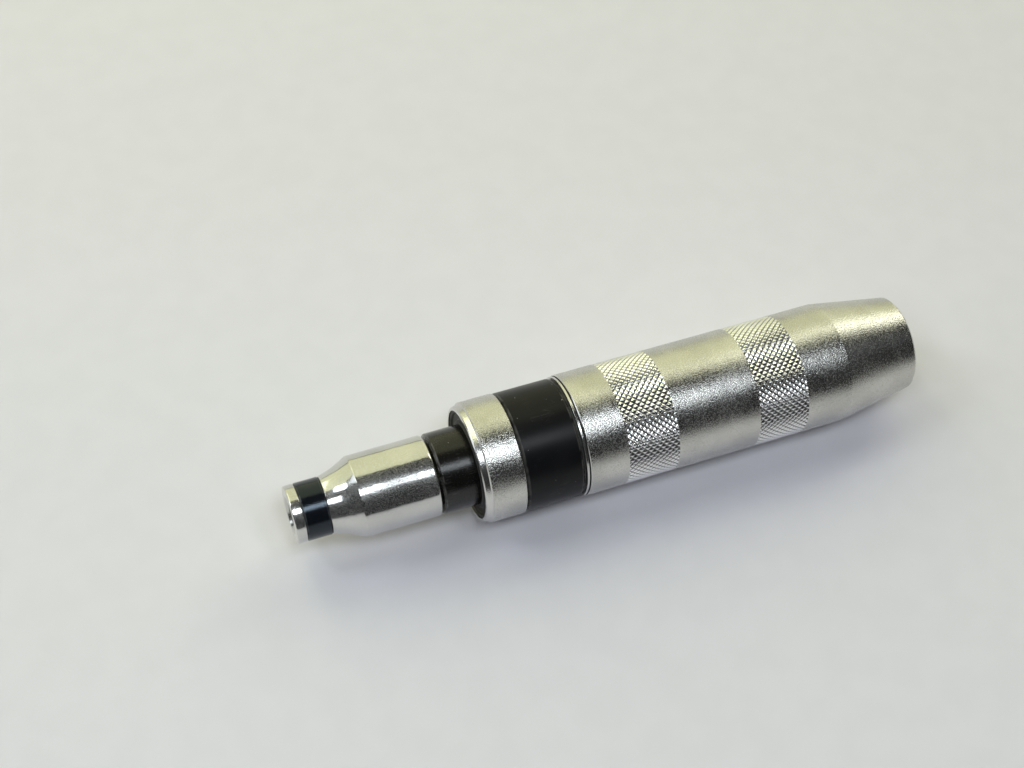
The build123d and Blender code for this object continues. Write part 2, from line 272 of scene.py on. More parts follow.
# Fine lines round the axis that a turning tool leaves
line_effect, takes, gives = effect("turning_lines", {"Pitch": 0.3, "Depth": 0.001}, ["Height"])
line_place = counted_in(line_effect, takes["Pitch"])
along = add(line_effect, "ShaderNodeSeparateXYZ", {0: line_place}).outputs["X"]
line_noise = add(
    line_effect, "ShaderNodeTexNoise", {"W": along, "Scale": 1.0}, noise_dimensions="1D")
centred = sum_of(line_effect, "SUBTRACT", line_noise.outputs["Fac"], 0.5)
line_effect.links.new(sum_of(line_effect, "MULTIPLY", centred, takes["Depth"]), gives["Height"])

# Rubbed edges, where the mesh says that an edge is rounded
wear_effect, takes, gives = effect("edge_wear", {"Amount": 0.5, "Size": 2.5}, ["Mask"])
edge = add(wear_effect, "ShaderNodeAttribute", attribute_name="wear").outputs["Fac"]
wear_noise = noise(wear_effect, counted_in(wear_effect, takes["Size"]), 3.0)
patchy = ramp(wear_effect, wear_noise, 0.35, 0.6)
rubbed = sum_of(wear_effect, "MULTIPLY", edge, patchy)
wear_effect.links.new(sum_of(wear_effect, "MULTIPLY", rubbed, takes["Amount"]), gives["Mask"])

# Small specks of dust lying on upward faces. Their radius is at most a share of their cell.
dust_colour, largest_speck, dust_dulling = (0.6, 0.58, 0.54), 0.09, 0.5
dust_effect, takes, gives = effect("settled_dust", {"Amount": 0.3, "Size": 1.8}, ["Mask"])
dust_place = counted_in(dust_effect, takes["Size"])
speck = add(dust_effect, "ShaderNodeTexVoronoi", {"Vector": dust_place, "Scale": 1.0})
chance = add(dust_effect, "ShaderNodeSeparateColor", {0: speck.outputs["Color"]}).outputs["Red"]
reach = sum_of(dust_effect, "MULTIPLY", ramp(dust_effect, chance, 0.4, 1.0), largest_speck)
spot = sum_of(dust_effect, "LESS_THAN", speck.outputs["Distance"], reach)
faced = add(dust_effect, "ShaderNodeNewGeometry").outputs["Normal"]
upward = add(dust_effect, "ShaderNodeSeparateXYZ", {0: faced}).outputs["Z"]
lying = sum_of(dust_effect, "MULTIPLY", spot, ramp(dust_effect, upward, -0.1, 0.7))
dust_effect.links.new(sum_of(dust_effect, "MULTIPLY", lying, takes["Amount"]), gives["Mask"])

# Patches of fine scratches in two directions. Their width is a share of a cell, their depth in mm.
scratch_width, scratch_depth = 0.012, 0.004
scratch_effect, takes, gives = effect("fine_scratches", {"Amount": 0.3, "Size": 5.0}, ["Mask"])
scratch_place = counted_in(scratch_effect, takes["Size"])
strokes = []
for slant, stretch in ((0.9, 9.0), (-0.5, 12.0)):
    stretched = add(scratch_effect, "ShaderNodeMapping", {
        "Vector": scratch_place, "Rotation": (slant, 0.3, slant), "Scale": (1.0, stretch, stretch),
    }).outputs[0]
    cells = {"Vector": stretched, "Scale": 0.6}
    cell = add(scratch_effect, "ShaderNodeTexVoronoi", cells, feature="DISTANCE_TO_EDGE")
    from_edge = cell.outputs["Distance"]
    strokes.append(sum_of(scratch_effect, "LESS_THAN", from_edge, scratch_width))
patch = ramp(scratch_effect, noise(scratch_effect, scratch_place, 3.0), 0.52, 0.68)
scored = sum_of(scratch_effect, "MULTIPLY", sum_of(scratch_effect, "MAXIMUM", *strokes), patch)
scratch_effect.links.new(
    sum_of(scratch_effect, "MULTIPLY", scored, takes["Amount"]), gives["Mask"])


# Clouds of slightly other colour and gloss, in mm, and the share of roughness that rubbing takes
cloud_size, cloud_low, cloud_high, rub_polish = 9.0, 0.3, 0.7, 0.4


def made_by(tree, group, **values):
    """What a shader group gives, placed in a material with its own values."""
    return add(tree, "ShaderNodeGroup", values, node_tree=group).outputs


def finish(
    name, colour, worn_colour, roughness, metallic=1.0, grain=(0.4, 0.01), lines=(0.3, 0.001),
    waves=(6.0, 0.0), spread=0.06, glint=0.0, wear=0.6, dust=0.4, scratches=0.3, tone=0.08,
    **plain
):
    """Material of one finish. Its colour drifts, its roughness is uneven and rises in fine specks,
    edges are rubbed, dust lies on top, and grain, turning lines and slow waves make its relief."""
    material = bpy.data.materials.new(name)
    material.use_nodes = True
    tree = material.node_tree
    shader = tree.nodes["Principled BSDF"]
    for socket, value in plain.items():
        shader.inputs[socket.replace("_", " ")].default_value = value
    grained = made_by(tree, grain_effect, Size=grain[0], Depth=grain[1])
    lined = made_by(tree, line_effect, Pitch=lines[0], Depth=lines[1])
    waved = made_by(tree, grain_effect, Size=waves[0], Depth=waves[1])
    clouds = made_by(tree, grain_effect, Size=cloud_size, Depth=0.0)["Shade"]
    rubbed = made_by(tree, wear_effect, Amount=wear)["Mask"]
    dusty = made_by(tree, dust_effect, Amount=dust)["Mask"]
    scratched = made_by(tree, scratch_effect, Amount=scratches)["Mask"]
    bright = sum_of(tree, "MAXIMUM", rubbed, scratched)
    shade = ramp(tree, clouds, cloud_low, cloud_high, 1 - tone, 1 + tone)
    base = add(tree, "ShaderNodeVectorMath", {0: colour, "Scale": shade}, operation="SCALE")
    base = base.outputs[0]
    for mask, over in ((bright, worn_colour), (dusty, dust_colour)):
        base = add(tree, "ShaderNodeMix", {0: mask, 6: base, 7: (*over, 1)}, data_type="RGBA")
        base = base.outputs[2]
    low, high = roughness - spread / 2, roughness + spread / 2
    rough = ramp(tree, clouds, cloud_low, cloud_high, low, high)
    for more in (
        ramp(tree, grained["Shade"], 0.5, 0.72, 0.0, glint),
        sum_of(tree, "MULTIPLY", bright, -rub_polish * roughness),
        sum_of(tree, "MULTIPLY", dusty, dust_dulling),
    ):
        rough = sum_of(tree, "ADD", rough, more)
    height = grained["Height"]
    cut_in = sum_of(tree, "MULTIPLY", scratched, -scratch_depth)
    for more in (lined["Height"], waved["Height"], cut_in):
        height = sum_of(tree, "ADD", height, more)
    bump = add(tree, "ShaderNodeBump", {"Height": height, "Distance": mm, "Strength": 1.0})
    tree.links.new(base, shader.inputs["Base Color"])
    tree.links.new(rough, shader.inputs["Roughness"])
    shader.inputs["Metallic"].default_value = metallic
    if metallic and dust:
        tree.links.new(sum_of(tree, "SUBTRACT", 1.0, dusty), shader.inputs["Metallic"])
    tree.links.new(bump.outputs[0], shader.inputs["Normal"])
    return material


def assembled(piece, body, slot, material, *nodes):
    """Gives a finished piece its material and body, and hides the CAD nodes that it stands for. The
    slot is not used.
    """
    piece.data.materials.clear()
    piece.data.materials.append(material)
    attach(piece, body)
    if nodes:
        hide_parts(*nodes)


def refinished(piece, material, start, end, low_r):
    """Gives one more finish to the faces between two distances in mm, outside a radius."""
    piece.data.materials.append(material)
    for face in piece.data.polygons:
        if start < -face.center.x / mm < end and face.center.yz.length / mm > low_r:
            face.material_index = len(piece.data.materials) - 1


def ring_groove(at, r, wire_r, side, steps=12):
    """Outline points of a round-bottomed groove, cut outward with side 1 or inward with side -1."""
    angles = [math.pi * step / steps for step in range(steps + 1)]
    return [
        (at + wire_r * math.cos(angle), r + side * wire_r * math.sin(angle), 0) for angle in angles
    ]


core_r = barrel_r - knurl_depth
barrel_outline = [
    (0, 0, 0), (0, struck_r, 0.15), (struck_edge_at, struck_edge_r, 0.3),
    (taper_end_at, barrel_r, 0.3),
]
for band_at in (rear_knurl_at, front_knurl_at):
    band_end_at = band_at + knurl_width
    barrel_outline += [(band_at, barrel_r, 0.06), (band_at, core_r, 0)]
    barrel_outline += [(band_end_at, core_r, 0), (band_end_at, barrel_r, 0.06)]
barrel_outline += [
    (lip_at, barrel_r, 0.1), (groove_at, lip_r, 0.06), (groove_at, groove_r, 0),
    (groove_end_at, groove_r, 0), (groove_end_at, lip_r, 0.08), (mouth_at, lip_r, 0.12),
    (mouth_at, mouth_r, 0.05), (mouth_end_at, bore_r, 0),
    *ring_groove(lock_ring_at, bore_r, lock_wire_r, 1), (bore_floor_at, bore_r, 0),
    (bore_floor_at, spring_room_r, 0), (head_at, spring_room_r, 0), (head_at, 0, 0),
]
barrel = turned("barrel_tube", softened(barrel_outline))
for side in (1, -1):
    key_y = side * key_from_axis
    drilled(barrel, key_hole_r, (-bore_floor_at, key_y, 0), (-mouth_at - 2, key_y, 0))
satin_chrome = finish(
    "satin_chrome", (0.60, 0.59, 0.565), (0.72, 0.71, 0.68), 0.22, grain=(0.28, 0.068),
    waves=(5.0, 0.01), spread=0.06, glint=0.3, wear=0.5, dust=0.35, scratches=0.25,
)
polished_chrome = finish(
    "polished_chrome", (0.66, 0.65, 0.63), (0.74, 0.73, 0.70), 0.2, grain=(0.3, 0.03),
    lines=(0.12, 0.003), waves=(4.0, 0.01), spread=0.04, wear=0.3, dust=0.3, scratches=0.3,
)
# Near-black finish for the groove at the mouth: painted shade that stands for the groove's shadow
groove_shade = finish(
    "groove_shade", (0.02, 0.019, 0.018), (0.1, 0.095, 0.09), 0.7, metallic=0.0,
    grain=(0.3, 0.03), dust=0.2, scratches=0.0,
)
assembled(trued(barrel), "barrel", "satin_chrome", satin_chrome, "barrel")
refinished(barrel, polished_chrome, lip_at + 0.05, mouth_at + 1, low_r=12)
# The groove's faces take the painted shade
refinished(barrel, groove_shade, groove_at - 0.01, groove_end_at + 0.01, low_r=12)

# Knurl: two bands of diamonds that rolls press into the barrel for the grip. The lines run at 45
# degrees both ways, 57 diamonds round, with crowned tops that stay level with the plain barrel.
diamonds_round, diamond_columns = 57, 17
half_pitch = knurl_width / (diamond_columns - 1)
diamond_levels = ((1.0, 0.03, -0.03), (0.85, 0.06, 0.12), (0.25, 0.22, 0.375))


def knurl_diamond():
    """One raised diamond on the core of the band. A level of it is a share of its whole size,
    how far its four corners are dulled, and its height in mm."""
    wide = core_r * math.tan(math.pi / diamonds_round)
    shape = bmesh.new()
    levels = []
    for share, dull, height in diamond_levels:
        ring = []
        for x, y in ((1, 0), (0, 1), (-1, 0), (0, -1)):
            for turn in (-dull, dull):
                corner = (x * (1 - dull) - y * turn, y * (1 - dull) + x * turn)
                place = (corner[0] * share * half_pitch, corner[1] * share * wide, height)
                ring.append(shape.verts.new(Vector(place) * mm))
        levels.append(ring)
    for low, high in zip(levels, levels[1:]):
        for i in range(8):
            shape.faces.new((low[i], low[(i + 1) % 8], high[(i + 1) % 8], high[i]))
    top = shape.verts.new((0, 0, knurl_depth * mm))
    for i in range(8):
        shape.faces.new((levels[-1][i], levels[-1][(i + 1) % 8], top))
    shape.faces.new(levels[0][::-1])
    mesh = bpy.data.meshes.new("knurl_diamond")
    shape.to_mesh(mesh)
    shape.free()
    return placed("knurl_diamond", mesh)


def rule(name, takes):
    """Geometry Nodes tree with named inputs: the tree and its inputs."""
    tree = bpy.data.node_groups.new(name, "GeometryNodeTree")
    for word, kind in takes.items():
        tree.interface.new_socket(word, in_out="INPUT", socket_type="NodeSocket" + kind)
    tree.interface.new_socket("Geometry", in_out="OUTPUT", socket_type="NodeSocketGeometry")
    return tree, tree.nodes.new("NodeGroupInput").outputs


def made_real(tree, takes, shape):
    """Ends a tree: instances become real, and take the finish."""
    real = add(tree, "GeometryNodeRealizeInstances", {0: shape}).outputs[0]
    values = {"Geometry": real, "Material": takes["Finish"]}
    done = add(tree, "GeometryNodeSetMaterial", values).outputs[0]
    tree.links.new(done, tree.nodes.new("NodeGroupOutput").inputs[0])


def grown(name, tree, values):
    """Plain piece that a Geometry Nodes tree makes from these values."""
    seed = placed(name + "_seed", bpy.data.meshes.new(name + "_seed"))
    step = seed.modifiers.new("rule", "NODES")
    step.node_group = tree
    for socket in tree.interface.items_tree:
        if socket.in_out == "INPUT":
            step[socket.identifier] = values[socket.name]
    bpy.context.view_layer.update()
    seen = seed.evaluated_get(bpy.context.evaluated_depsgraph_get())
    mesh = bpy.data.meshes.new_from_object(seen)
    bpy.data.objects.remove(seed)
    return placed(name, mesh)


knurl_rule, takes = rule("knurled_band", {
    "Diamonds round": "Int", "Columns": "Int", "Half pitch": "Float", "Core radius": "Float",
    "First column": "Float", "Diamond": "Object", "Finish": "Material",
})
index = add(knurl_rule, "GeometryNodeInputIndex").outputs[0]
row = sum_of(knurl_rule, "FLOOR", sum_of(knurl_rule, "DIVIDE", index, takes["Diamonds round"]))
step_round = sum_of(knurl_rule, "MODULO", index, takes["Diamonds round"])
stagger = sum_of(knurl_rule, "MULTIPLY", sum_of(knurl_rule, "MODULO", row, 2.0), 0.5)
one_angle = sum_of(knurl_rule, "DIVIDE", math.tau, takes["Diamonds round"])
angle = sum_of(knurl_rule, "MULTIPLY", sum_of(knurl_rule, "ADD", step_round, stagger), one_angle)
gone_along = sum_of(knurl_rule, "MULTIPLY", row, takes["Half pitch"])
column = sum_of(knurl_rule, "SUBTRACT", takes["First column"], gone_along)
around_y = sum_of(knurl_rule, "MULTIPLY", sum_of(knurl_rule, "COSINE", angle), takes["Core radius"])
around_z = sum_of(knurl_rule, "MULTIPLY", sum_of(knurl_rule, "SINE", angle), takes["Core radius"])
spot = add(knurl_rule, "ShaderNodeCombineXYZ", {"X": column, "Y": around_y, "Z": around_z})
spot = spot.outputs[0]
number = sum_of(knurl_rule, "MULTIPLY", takes["Diamonds round"], takes["Columns"])
points = add(knurl_rule, "GeometryNodePoints", {"Count": number, "Position": spot}).outputs[0]
upright = sum_of(knurl_rule, "SUBTRACT", angle, math.pi / 2)
facing = add(knurl_rule, "ShaderNodeCombineXYZ", {"X": upright}).outputs[0]
facing = add(knurl_rule, "FunctionNodeEulerToRotation", {0: facing}).outputs[0]
stamp = add(knurl_rule, "GeometryNodeObjectInfo", {"Object": takes["Diamond"]}).outputs["Geometry"]
pressed = add(knurl_rule, "GeometryNodeInstanceOnPoints", {
    "Points": points, "Instance": stamp, "Rotation": facing})
made_real(knurl_rule, takes, pressed.outputs[0])

# The knurl's chrome is lighter than the barrel's satin chrome: a painted highlight that makes its
# facets shine brighter
knurl_highlight_colour = (0.88, 0.875, 0.88)
knurl_lit_chrome = finish(
    "knurl_lit_chrome", knurl_highlight_colour, knurl_highlight_colour, 0.18, grain=(0.3, 0.02), spread=0.05, dust=0.0,
    scratches=0.0,
)
# Painted shade darkens the gaps between the diamonds up to a height in mm, fading as it rises
gap_shade_colour, gap_shade_amount, gap_shade_height = (0.03, 0.028, 0.026, 1), 0.95, 0.2
knurl_tree = knurl_lit_chrome.node_tree
knurl_base = knurl_tree.nodes["Principled BSDF"].inputs["Base Color"]
place = add(knurl_tree, "ShaderNodeTexCoord").outputs["Object"]
across = add(knurl_tree, "ShaderNodeVectorMath", {0: place, 1: (0, 1, 1)}, operation="MULTIPLY")
from_axis = add(knurl_tree, "ShaderNodeVectorMath", {0: across.outputs[0]}, operation="LENGTH")
gap_shading = ramp(
    knurl_tree, from_axis.outputs["Value"], core_r * mm, (core_r + gap_shade_height) * mm,
    gap_shade_amount, 0.0,
)
unshaded_colour = knurl_base.links[0].from_socket
# The knurl's own colour is mixed toward near-black low in the gaps: painted shade
gap_shaded = add(knurl_tree, "ShaderNodeMix", {0: gap_shading, 6: unshaded_colour, 7: gap_shade_colour}, data_type="RGBA")
knurl_tree.links.new(gap_shaded.outputs[2], knurl_base)
knurl_crease_deg = 22
diamond = knurl_diamond()
for name, band_at in (("knurl_rear", rear_knurl_at), ("knurl_front", front_knurl_at)):
    band = grown(name, knurl_rule, {
        "Diamonds round": diamonds_round, "Columns": diamond_columns,
        "Half pitch": half_pitch * mm, "Core radius": core_r * mm, "First column": -band_at * mm,
        "Diamond": diamond, "Finish": knurl_lit_chrome,
    })
    band.data.shade_smooth()
    band.data.set_sharp_from_angle(angle=math.radians(knurl_crease_deg))
    assembled(band, "barrel", "satin_chrome", knurl_lit_chrome)
bpy.data.objects.remove(diamond)

# Recoil parts in the barrel: a shim on the floor of the bore, the strong coil spring that throws
# the tool back after a blow, and the seat and bronze washer that pass its push to the spindle. The
# seat and shim are hardened steel, the spring is wound from black oxidised wire.
hard_steel = finish(
    "hard_steel", (0.42, 0.41, 0.40), (0.6, 0.59, 0.57), 0.3, grain=(0.5, 0.006),
    lines=(0.25, 0.004), dust=0.1, scratches=0.5,
)
spring_steel = finish(
    "spring_steel", (0.12, 0.115, 0.11), (0.4, 0.39, 0.37), 0.34, grain=(0.35, 0.012),
    lines=(0.3, 0.002), dust=0.1, scratches=0.4,
)
bearing_bronze = finish(
    "bearing_bronze", (0.62, 0.36, 0.16), (0.8, 0.55, 0.3), 0.3, grain=(0.4, 0.008),
    lines=(0.2, 0.005), dust=0.1, scratches=0.3,
)


def dressed(node, material):
    """Gives a CAD node that is kept as it is its finish."""
    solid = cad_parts[node]
    solid.data.materials.clear()
    solid.data.materials.append(material)


coil_rule, takes = rule("coil", {
    "Turns": "Float", "Mean radius": "Float", "Wire radius": "Float", "Rise": "Float",
    "Steps a turn": "Int", "Start": "Vector", "Upright": "Vector", "Finish": "Material",
})
wound = add(coil_rule, "GeometryNodeCurveSpiral", {
    "Resolution": takes["Steps a turn"], "Rotations": takes["Turns"],
    "Start Radius": takes["Mean radius"], "End Radius": takes["Mean radius"],
    "Height": takes["Rise"],
}).outputs[0]
wire = add(coil_rule, "GeometryNodeCurvePrimitiveCircle", {
    "Resolution": 20, "Radius": takes["Wire radius"]})
swept = add(coil_rule, "GeometryNodeCurveToMesh", {
    "Curve": wound, "Profile Curve": wire.outputs[0], "Fill Caps": True}).outputs[0]
stood = add(coil_rule, "GeometryNodeTransform", {
    "Geometry": swept, "Translation": takes["Start"], "Rotation": takes["Upright"]}).outputs[0]
rounded = add(coil_rule, "GeometryNodeSetShadeSmooth", {0: stood}).outputs[0]
made_real(coil_rule, takes, rounded)


def coil(name, turns, mean_r, wire_r, length, start, upright, material):
    """Round-wire coil spring. Sizes and its start are in mm, and its length is over the wire."""
    start = Vector(start) + Matrix.Rotation(upright, 3, "Y") @ Vector((0, 0, wire_r))
    piece = grown(name, coil_rule, {
        "Turns": turns, "Mean radius": mean_r * mm, "Wire radius": wire_r * mm,
        "Rise": (length - 2 * wire_r) * mm, "Steps a turn": 40, "Start": start * mm,
        "Upright": (0.0, upright, 0.0), "Finish": material,
    })
    closed(piece.data)
    piece.data.set_sharp_from_angle(angle=math.radians(60))
    return piece


spring_at, spring_length = 23.6, 32.7
main_spring = coil(
    "recoil_spring", turns=6.0, mean_r=9.0, wire_r=1.5, length=spring_length,
    start=(-spring_at, 0, 0), upright=-math.pi / 2, material=spring_steel,
)
assembled(main_spring, "barrel", "spring_steel", spring_steel, "main_spring")
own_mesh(main_spring)
dressed("spring_shim", hard_steel)
dressed("spring_seat", hard_steel)
dressed("thrust_washer", bearing_bronze)

# Cam sleeve: the gloss black collar and the spigot behind it, with the V-shaped slots that turn
# the spindle. Two round keys hold it from turning in the barrel, and a wire ring holds it in. It
# is painted over machined steel, and a rubber seal closes the joint at the barrel's mouth.
near_along, near_r = 0.002, 0.02


def copied(name, node, corners, rounding, calm):
    """The CAD node's shape as a piece of its own. Ring-shaped corners at (distance, radius)
    places in mm are rounded and worn, and the wear ends at the calm distances."""
    shape = bmesh.new()
    shape.from_mesh(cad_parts[node].data)
    bmesh.ops.remove_doubles(shape, verts=shape.verts, dist=merge_gap)
    wear = shape.verts.layers.float.new("wear")
    for at in calm:
        whole = [*shape.verts, *shape.edges, *shape.faces]
        bmesh.ops.bisect_plane(
            shape, geom=whole, plane_co=(-at * mm, 0, 0), plane_no=(1, 0, 0), dist=1e-8,
        )
    for at, r in corners:
        ring = [edge for edge in shape.edges if all(
            abs(v.co.x + at * mm) < near_along * mm and abs(v.co.yz.length - r * mm) < near_r * mm
            for v in edge.verts
        )]
        made = bmesh.ops.bevel(
            shape, geom=ring, offset=rounding * mm, segments=3, profile=0.5, affect="EDGES",
        )
        for v in made["verts"]:
            v[wear] = 1.0
    bmesh.ops.recalc_face_normals(shape, faces=shape.faces)
    mesh = bpy.data.meshes.new(name)
    shape.to_mesh(mesh)
    shape.free()
    return trued(placed(name, mesh))


gloss_black = finish(
    "gloss_black", (0.007, 0.007, 0.008), (0.1, 0.095, 0.09), 0.34, metallic=0.0,
    grain=(0.8, 0.008), waves=(4.0, 0.01), spread=0.06, wear=0.6, dust=0.5, scratches=0.25,
    IOR=1.27,
)
seal_rubber = finish(
    "seal_rubber", (0.018, 0.017, 0.016), (0.05, 0.05, 0.05), 0.6, metallic=0.0,
    grain=(0.3, 0.02), dust=0.5, scratches=0.0,
)
cam_sleeve = copied(
    "cam_sleeve_turning", "cam_sleeve",
    corners=((98.3, 15.55), (98.8, 16.05), (113.5, 16.05), (114.0, 15.55)),
    rounding=0.18, calm=(99.1, 113.2),
)
assembled(cam_sleeve, "barrel", "gloss_black", gloss_black, "cam_sleeve")
seal_at, seal_end_at, seal_r = 97.83, 98.27, 15.35
mouth_seal = turned("mouth_seal_ring", softened([
    (seal_at, bore_r, 0), (seal_end_at, bore_r, 0), (seal_end_at, seal_r, 0.12),
    (seal_at, seal_r, 0.12),
]))
assembled(trued(mouth_seal), "barrel", "seal_rubber", seal_rubber, "mouth_seal")
dressed("sleeve_keys", hard_steel)
dressed("sleeve_lock_ring", spring_steel)

# Spindle: the turning that the cross pin drives, with a thrust flange inside the sleeve, the dark
# boss that shows beside the chrome ring, and the square drive. It is machined from steel and
# oxidised brown-black.
shaft_at, shaft_r = 60.55, 8.0
flange_at, flange_end_at, flange_r = 108.15, 110.95, 13.3
boss_r, boss_end_at = 10.8, 134.7
drive_half, drive_corner_r, drive_end_at = 6.35, 8.6, 149.7
pin_at, pin_hole_r = 87.95, 2.53
drive_ball_at, drive_ball_hole_r = 142, 1.75
flat_angle = np.arange(240) * math.tau / 240
to_flat = drive_half / np.maximum(np.abs(np.cos(flat_angle)), np.abs(np.sin(flat_angle)))
spindle_rings = softened([
    (shaft_at, 0, 0), (shaft_at, 7.2, 0.1), (61.35, shaft_r, 0.1), (flange_at, shaft_r, 0),
    (flange_at, 13.0, 0.08), (108.45, flange_r, 0.08), (flange_end_at, flange_r, 0.1),
    (flange_end_at, boss_r, 0), (134.2, boss_r, 0.25), (boss_end_at, 10.3, 0.2),
    (boss_end_at, 9.0, 0),
])
for at, corner_r, worn in (
    (boss_end_at, drive_corner_r, 0), (148.7, drive_corner_r, 0), (149.2, 8.2, 1),
    (drive_end_at, 7.6, 1),
):
    spindle_rings.append((at, np.minimum(to_flat, corner_r), worn))
spindle_rings.append((drive_end_at, 0, 0))
spindle = turned("spindle_turning", spindle_rings)
drilled(spindle, pin_hole_r, (-pin_at, 0, -20), (-pin_at, 0, 20))
drilled(spindle, drive_ball_hole_r, (-drive_ball_at, 0, -0.3), (-drive_ball_at, 0, 12))
black_oxide = finish(
    "black_oxide", (0.006, 0.0055, 0.005), (0.2, 0.19, 0.18), 0.19, metallic=0.0,
    grain=(0.3, 0.024), lines=(0.3, 0.002), waves=(3.0, 0.008), spread=0.04, glint=0.1,
    wear=0.4, dust=0.4, scratches=0.3, IOR=1.47,
)
assembled(trued(spindle), "spindle", "black_oxide", black_oxide, "spindle")
dressed("cross_pin", hard_steel)

# Front cap: the bright ring that closes the sleeve, with a spigot that a wire ring holds. It is
# satin chrome with a polished bit-side edge, and a rubber wiper in its face keeps dirt out.
spigot_at, spigot_r = 111, 13.87
ring_at, ring_r, ring_end_at = 114.2, 16.25, 125.3
ring_edge_at, step_r, step_end_at = 123.4, 15.85, 125.0
cap_bore_r, wiper_room_at, wiper_room_r = 10.85, 122.8, 14.6
front_cap = turned("front_cap_ring", softened([
    (spigot_at, cap_bore_r, 0), (spigot_at, spigot_r, 0.1),
    *ring_groove(112.4, spigot_r, 0.6, -1)[::-1], (ring_at, spigot_r, 0),
    (ring_at, 16.0, 0.1), (114.45, ring_r, 0.12), (ring_edge_at, ring_r, 0.12),
    (123.7, step_r, 0.15), (step_end_at, 15.5, 0.12), (ring_end_at, 15.2, 0.15),
    (ring_end_at, wiper_room_r, 0.05), (wiper_room_at, wiper_room_r, 0),
    (wiper_room_at, cap_bore_r, 0),
]))
assembled(trued(front_cap), "barrel", "satin_chrome", satin_chrome, "front_cap")
refinished(front_cap, polished_chrome, ring_edge_at + 0.05, ring_end_at + 0.7, low_r=14)
wiper_at, wiper_end_at, wiper_r = 122.83, 124.9, 14.57
wiper = turned("wiper_ring", softened([
    (wiper_at, cap_bore_r, 0), (125.0, cap_bore_r, 0.2), (125.0, 11.5, 0.1), (124.3, 11.9, 0.1),
    (124.3, 13.5, 0.1), (wiper_end_at, 13.9, 0.1), (wiper_end_at, wiper_r, 0.1),
    (wiper_at, wiper_r, 0),
]))
assembled(trued(wiper), "barrel", "seal_rubber", seal_rubber, "wiper_seal")
dressed("cap_lock_ring", spring_steel)

# Ball catch in the square drive: a hardened bearing ball on a small coil of spring wire, in a
# hole drilled into one flat of the square. It holds the bit holder on.
ball_spring_foot, ball_spring_length, ball_press = -0.25, 3.2, 0.6
ball_spring = coil(
    "drive_ball_spring", turns=3.0, mean_r=1.2, wire_r=0.2, length=ball_spring_length,
    start=(-drive_ball_at, 0, ball_spring_foot), upright=0.0, material=spring_steel,
)
assembled(ball_spring, "spindle", "spring_steel", spring_steel, "drive_detent_spring")
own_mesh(ball_spring)
dressed("drive_detent_ball", hard_steel)

# Bit holder: a polished chrome socket that slides on the square drive, with a waisted flare down to
# a neck and a hexagon for the bits. Turned and broached in one piece, polished, then plated.
holder_at, holder_r = 135.4, 10.8
flare_at, flare_end_at = 155.6, 163.6
neck_r, neck_end_at = 6.2, 170.3
tip_r, tip_at = 7.65, 172.9
socket_half, socket_end_at = 6.45, 151.5
hex_half, hex_end_at = 4.0, 155.5
lead_r, lead_low_r = 9.12, 8.72
cone_r, cone_low_r = 5.02, 4.42
bit_ball_at, bit_ball_hole_r = 166.95, 1.55
to_socket = socket_half / np.maximum(np.abs(np.cos(flat_angle)), np.abs(np.sin(flat_angle)))
hex_turns = [np.cos(flat_angle - math.radians(90 + 60 * side)) for side in range(6)]
to_hex = hex_half / np.maximum.reduce(hex_turns)


def arc(start, end, sagitta, steps=24):
    """Outline points between start and end on an arc that bows toward the axis."""
    start, end = Vector(start), Vector(end)
    across = Vector((end.y - start.y, start.x - end.x)).normalized()
    if across.y > 0:
        across = -across
    points = []
    for step in range(1, steps):
        share = step / steps
        point = start.lerp(end, share) + across * sagitta * 4 * share * (1 - share)
        points.append((point.x, point.y, 0))
    return points


holder_rings = [(socket_end_at, 0, 0), (socket_end_at, to_socket, 0)]
lead_depth = np.clip(lead_r - to_socket, 0, lead_r - lead_low_r)
holder_rings.append((holder_at + lead_depth, to_socket, 0))
lead_ring_r = np.maximum(to_socket, lead_low_r)
holder_rings.append((holder_at + lead_r - lead_ring_r, lead_ring_r, 0))
holder_rings += softened([
    (holder_at, lead_r, 0), (holder_at, holder_r, 0.6), (flare_at, holder_r, 0.25),
    *arc((flare_at, holder_r), (flare_end_at, tip_r), 0.35), (flare_end_at, tip_r, 0.08),
    (flare_end_at, neck_r, 0), (neck_end_at, neck_r, 0), (neck_end_at, tip_r, 0.2),
    (tip_at, tip_r, 0.4), (tip_at, cone_r, 0),
])
cone_ring_r = np.maximum(to_hex, cone_low_r)
holder_rings.append((tip_at - cone_r + cone_ring_r, cone_ring_r, 0))
cone_depth = np.clip(cone_r - to_hex, 0, cone_r - cone_low_r)
holder_rings.append((tip_at - cone_depth, to_hex, 0))
holder_rings += [(hex_end_at, to_hex, 0), (hex_end_at, 0, 0)]
holder = turned("holder_turning", holder_rings)
drilled(holder, bit_ball_hole_r, (-bit_ball_at, 0, 2), (-bit_ball_at, 0, 8.2))
mirror_chrome = finish(
    "mirror_chrome", (0.66, 0.655, 0.64), (0.8, 0.79, 0.77), 0.09, grain=(0.1, 0.0025),
    waves=(3.0, 0.05), spread=0.04, glint=0.55, wear=0.4, dust=0.4, scratches=0.3, tone=0.05,
)
assembled(trued(holder), "bit_holder", "mirror_chrome", mirror_chrome, "bit_holder")

# Bit catch at the neck: a split band of blackened spring steel, sprung into the neck's groove,
# that presses a hardened ball through the holder's wall into the bit.
black_spring_steel = finish(
    "black_spring_steel", (0.006, 0.007, 0.010), (0.15, 0.15, 0.16), 0.15, metallic=0.0,
    grain=(0.3, 0.02), waves=(3.0, 0.01), spread=0.04, wear=0.4, dust=0.4, scratches=0.3,
    IOR=1.5, Specular_Tint=(0.7, 0.85, 1.0, 1.0),
)
neck_band = copied(
    "neck_band", "neck_spring_sleeve",
    corners=((163.7, 7.4), (163.95, 7.65), (169.95, 7.65), (170.2, 7.4)),
    rounding=0.08, calm=(164.2, 169.7),
)
assembled(neck_band, "bit_holder", "black_spring_steel", black_spring_steel, "neck_spring_sleeve")
dressed("bit_detent_ball", hard_steel)

